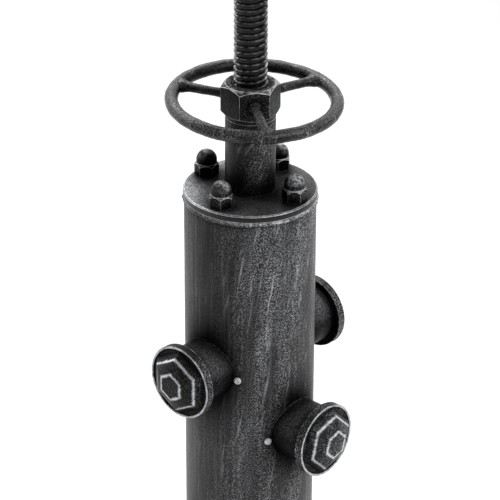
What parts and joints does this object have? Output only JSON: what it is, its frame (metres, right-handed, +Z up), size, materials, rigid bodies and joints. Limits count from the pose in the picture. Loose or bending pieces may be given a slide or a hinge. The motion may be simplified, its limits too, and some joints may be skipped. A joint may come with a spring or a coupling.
{
  "type": "bar stool",
  "caption": "Height-adjustable bar stool on a hydrant-style steel column; a handwheel nut raises a trapezoidal screw that carries a swivelling round wooden seat.",
  "frame": {"origin": "centre of the footprint on the floor, on the column's axis", "axes": "+Z up along the column and spindle; -Y is the front, between the left outlet and the right outlet; +X is to the right"},
  "size_m": [0.4, 0.4, 0.8268],
  "materials": {
    "black_painted_steel": "black paint with a fine vertical brushed grain in silver",
    "dry_brushed_steel": "black paint with its edges and high spots dry-brushed in antique silver",
    "black_cast_iron": "rough black painted casting",
    "oiled_steel": "dark oiled thread",
    "plain_steel": "plain mill finish",
    "bright_steel": "bright zinc plated",
    "bronze": "turned bearing bronze",
    "rubber": "matte rubber sheet",
    "wood": "oiled brown hardwood"
  },
  "bodies": {
    "stand": {"floor_pad": "rubber", "base_plate": "black_cast_iron", "column_flange": "black_painted_steel", "base_bolt_1": "dry_brushed_steel", "base_bolt_2": "dry_brushed_steel", "base_bolt_3": "dry_brushed_steel", "base_bolt_4": "dry_brushed_steel", "base_bolt_5": "dry_brushed_steel", "base_bolt_6": "dry_brushed_steel", "column_tube": "black_painted_steel", "guide_rail": "plain_steel", "lid_ring": "plain_steel", "lid_plate": "dry_brushed_steel", "lid_stud_1": "bright_steel", "lid_stud_2": "bright_steel", "lid_stud_3": "bright_steel", "lid_stud_4": "bright_steel", "cap_nut_1": "dry_brushed_steel", "cap_nut_2": "dry_brushed_steel", "cap_nut_3": "dry_brushed_steel", "cap_nut_4": "dry_brushed_steel", "sleeve": "black_painted_steel", "bush_lower": "bronze", "bush_upper": "bronze", "thrust_washer": "bronze", "outlet_neck_left": "black_painted_steel", "outlet_neck_rear": "black_painted_steel", "outlet_neck_right": "black_painted_steel", "outlet_cap_left": "dry_brushed_steel", "outlet_cap_rear": "dry_brushed_steel", "outlet_cap_right": "dry_brushed_steel", "rivet_left_a": "bright_steel", "rivet_left_b": "bright_steel", "rivet_rear_a": "bright_steel", "rivet_rear_b": "bright_steel", "rivet_right_a": "bright_steel", "rivet_right_b": "bright_steel"},
    "handwheel": {"wheel_nut": "dry_brushed_steel", "wheel_spoke_1": "dry_brushed_steel", "wheel_spoke_2": "dry_brushed_steel", "wheel_spoke_3": "dry_brushed_steel", "wheel_rim": "dry_brushed_steel"},
    "lift": {"spindle": "oiled_steel", "guide_disc": "plain_steel", "guide_nut": "bright_steel", "swivel_washer": "bronze", "retainer_washer": "bright_steel", "retainer_screw": "bright_steel"},
    "seat": {"seat_hub": "black_painted_steel", "seat_plate": "black_painted_steel", "seat_screw_1": "bright_steel", "seat_screw_2": "bright_steel", "seat_screw_3": "bright_steel", "seat_screw_4": "bright_steel", "seat": "wood"}
  },
  "joints": [
    {"name": "wheel_turn", "type": "hinge", "parent": "stand", "child": "handwheel", "pos_m": [0, 0, 0.612], "axis": [0, 0, 1], "range_deg": [-2160, 7200]},
    {"name": "spindle_lift", "type": "slide", "parent": "stand", "child": "lift", "axis": [0, 0, 1], "range_m": [-0.12, 0.036]},
    {"name": "seat_swivel", "type": "hinge", "parent": "lift", "child": "seat", "pos_m": [0, 0, 0.8], "axis": [0, 0, 1], "continuous": true}
  ],
  "couplings": [
    {"joint": "spindle_lift", "follows": "wheel_turn", "m_per_rad": -0.00095493}
  ]
}
